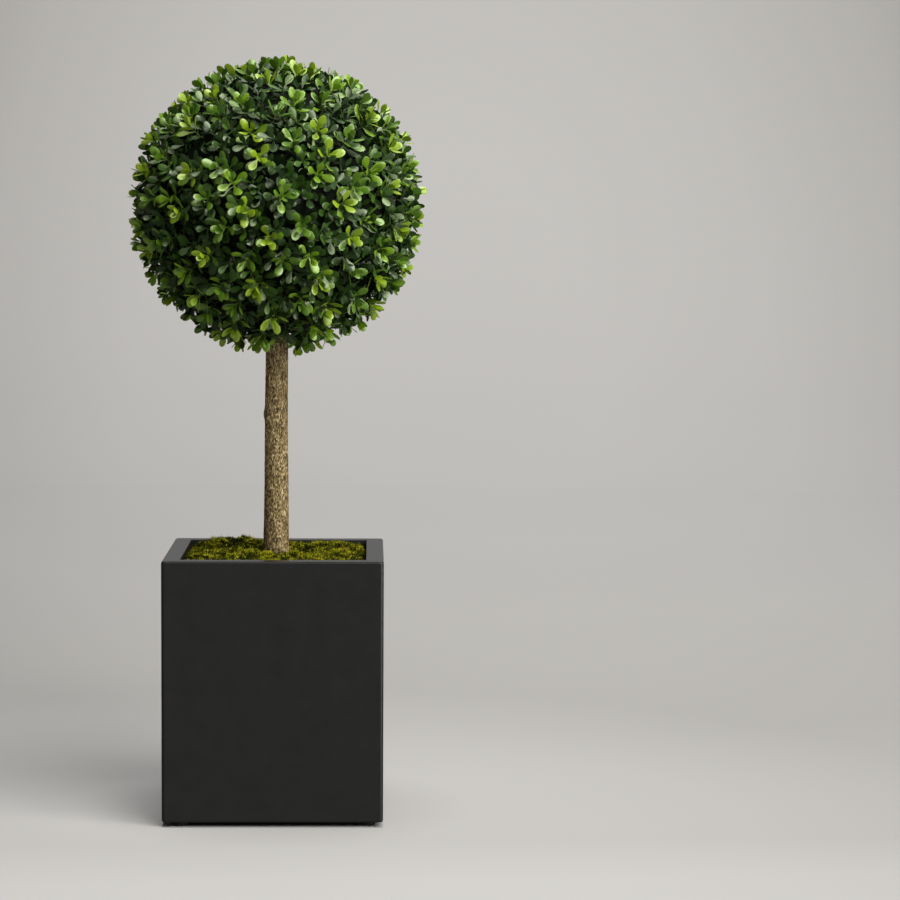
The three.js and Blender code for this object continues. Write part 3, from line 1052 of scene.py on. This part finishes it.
def studio_material():
    """Pale warm grey with a faint glow of its own, so that floor and wall look evenly lit."""
    material, tree, shader = principled("studio_grey", STUDIO_COLOUR, 0.9, 0.1)
    shader.inputs["Emission Color"].default_value = (1.0, 0.982, 0.958, 1)
    total = add_glow(tree, *GLOWS[0])
    for glow in GLOWS[1:]:
        both = tree.nodes.new("ShaderNodeMath")
        tree.links.new(total, both.inputs[0])
        tree.links.new(add_glow(tree, *glow), both.inputs[1])
        total = both.outputs["Value"]
    tree.links.new(total, shader.inputs["Emission Strength"])
    return material


def make_floor(material):
    """The flat round floor."""
    profile = [(0, 0), (0.5, 0), (1.5, 0), (3, 0), (STAGE_FLAT, 0), (0, -STAGE_THICKNESS)]
    points, faces = lathe(profile, STAGE_SECTORS)
    return make_piece("studio_floor", points, faces, material, sharp_degrees=40)


def make_wall(material):
    """The round wall that the floor turns up into. It neither shades the plant nor lights it."""
    bend = STAGE_WALL - STAGE_FLAT
    profile = arc((STAGE_FLAT, bend), bend, -90, 0, 24) + [(STAGE_WALL, STAGE_TOP)]
    points = [p for radius, height in profile for p in ring_points(radius, height, STAGE_SECTORS)]
    wall = make_piece("studio_wall", points, ring_faces(len(profile), STAGE_SECTORS), material)
    wall.visible_shadow = False
    wall.visible_diffuse = False
    return wall


def make_unlit_floor():
    """The floor right under the planter, without a glow, so that it is as dark as it looks there."""
    half = PLANTER_HIGH.x
    material = plain_material("studio_grey_unlit", STUDIO_COLOUR, 0.9, 0.1)
    corners = [(x * half, y * half, UNLIT_FLOOR_HEIGHT) for x, y in ((-1, -1), (1, -1), (1, 1), (-1, 1))]
    return make_piece("floor_under_planter", corners, [(0, 1, 2, 3)], material)


def make_stage():
    """A pale floor and wall. From behind, a soft change of tone shows where one turns into the other."""
    material = studio_material()
    stage = (make_floor(material), make_wall(material), make_unlit_floor())
    for part in stage:
        part.visible_glossy = False
    return stage


def add_area_light(name, place, target, size, watts, colour):
    """A lamp that faces its target and doesn't show itself."""
    light = bpy.data.lights.new(name, "AREA")
    light.shape = "RECTANGLE"
    light.size, light.size_y = size
    light.energy = watts
    light.color = colour
    lamp = bpy.data.objects.new(name, light)
    bpy.context.scene.collection.objects.link(lamp)
    lamp.location = place
    lamp.rotation_euler = (Vector(target) - Vector(place)).to_track_quat("-Z", "Y").to_euler()
    lamp.visible_camera = False
    return lamp


def add_sky():
    """Soft light from all round, stronger from the bright wall behind the plant."""
    world = bpy.data.worlds.new("studio")
    world.use_nodes = True
    tree = world.node_tree
    background = tree.nodes["Background"]
    background.inputs["Color"].default_value = (1.0, 0.99, 0.975, 1)
    direction = tree.nodes.new("ShaderNodeTexCoord")
    parts = tree.nodes.new("ShaderNodeSeparateXYZ")
    behind = tree.nodes.new("ShaderNodeMapRange")
    behind.interpolation_type = "SMOOTHSTEP"
    limits = (*SKY_RISE, *SKY_STRENGTHS)
    for socket, limit in zip(("From Min", "From Max", "To Min", "To Max"), limits):
        behind.inputs[socket].default_value = limit
    tree.links.new(direction.outputs["Generated"], parts.inputs["Vector"])
    tree.links.new(parts.outputs["Y"], behind.inputs["Value"])
    tree.links.new(behind.outputs["Result"], background.inputs["Strength"])
    bpy.context.scene.world = world


def keep_off_stage(lamp, stage):
    """Lets a lamp light the plant only, because close to the lamp the floor would glare from behind."""
    excluded = bpy.data.collections.new(lamp.name + "_receivers")
    for part in stage:
        excluded.objects.link(part)
    for entry in excluded.collection_objects:
        entry.light_linking.link_state = "EXCLUDE"
    lamp.light_linking.receiver_collection = excluded


def add_lights(stage):
    """A broad key from the upper right, far off so that it lights the floor evenly, and soft fills."""
    add_area_light("key", *KEY_LAMP)
    side = add_area_light("side", *SIDE_LAMP)
    keep_off_stage(side, stage)
    add_area_light("top", *TOP_LAMP)
    add_sky()


def add_camera():
    """The photograph's view: the lines along +Y meet where they do in it."""
    data = bpy.data.cameras.new("camera")
    data.lens = FOCAL_PIXELS / FRAME_PIXELS * data.sensor_width
    camera = bpy.data.objects.new("camera", data)
    bpy.context.scene.collection.objects.link(camera)
    middle = FRAME_PIXELS / 2
    yaw = math.atan((middle - VANISHING_POINT[0]) / FOCAL_PIXELS)
    pitch = math.atan((middle - VANISHING_POINT[1]) / FOCAL_PIXELS)
    turned = Matrix.Rotation(-yaw, 3, "Z") @ Matrix.Rotation(math.pi / 2 - pitch, 3, "X")
    camera.location = CAMERA_PLACE
    camera.rotation_euler = (turned @ Matrix.Rotation(CAMERA_ROLL, 3, "Z")).to_euler()
    bpy.context.scene.camera = camera


def set_filling():
    """Gives the solid filling its material, because no piece stands for it."""
    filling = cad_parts["potting_fill"]
    filling.data.materials.clear()
    filling.data.materials.append(filling_material())


add_camera()
bpy.context.scene.view_settings.view_transform = "Standard"
add_lights(make_stage())
make_planter()
make_feet()
set_filling()
make_moss_bed()
make_moss_tufts()
make_trunk()
make_foliage()
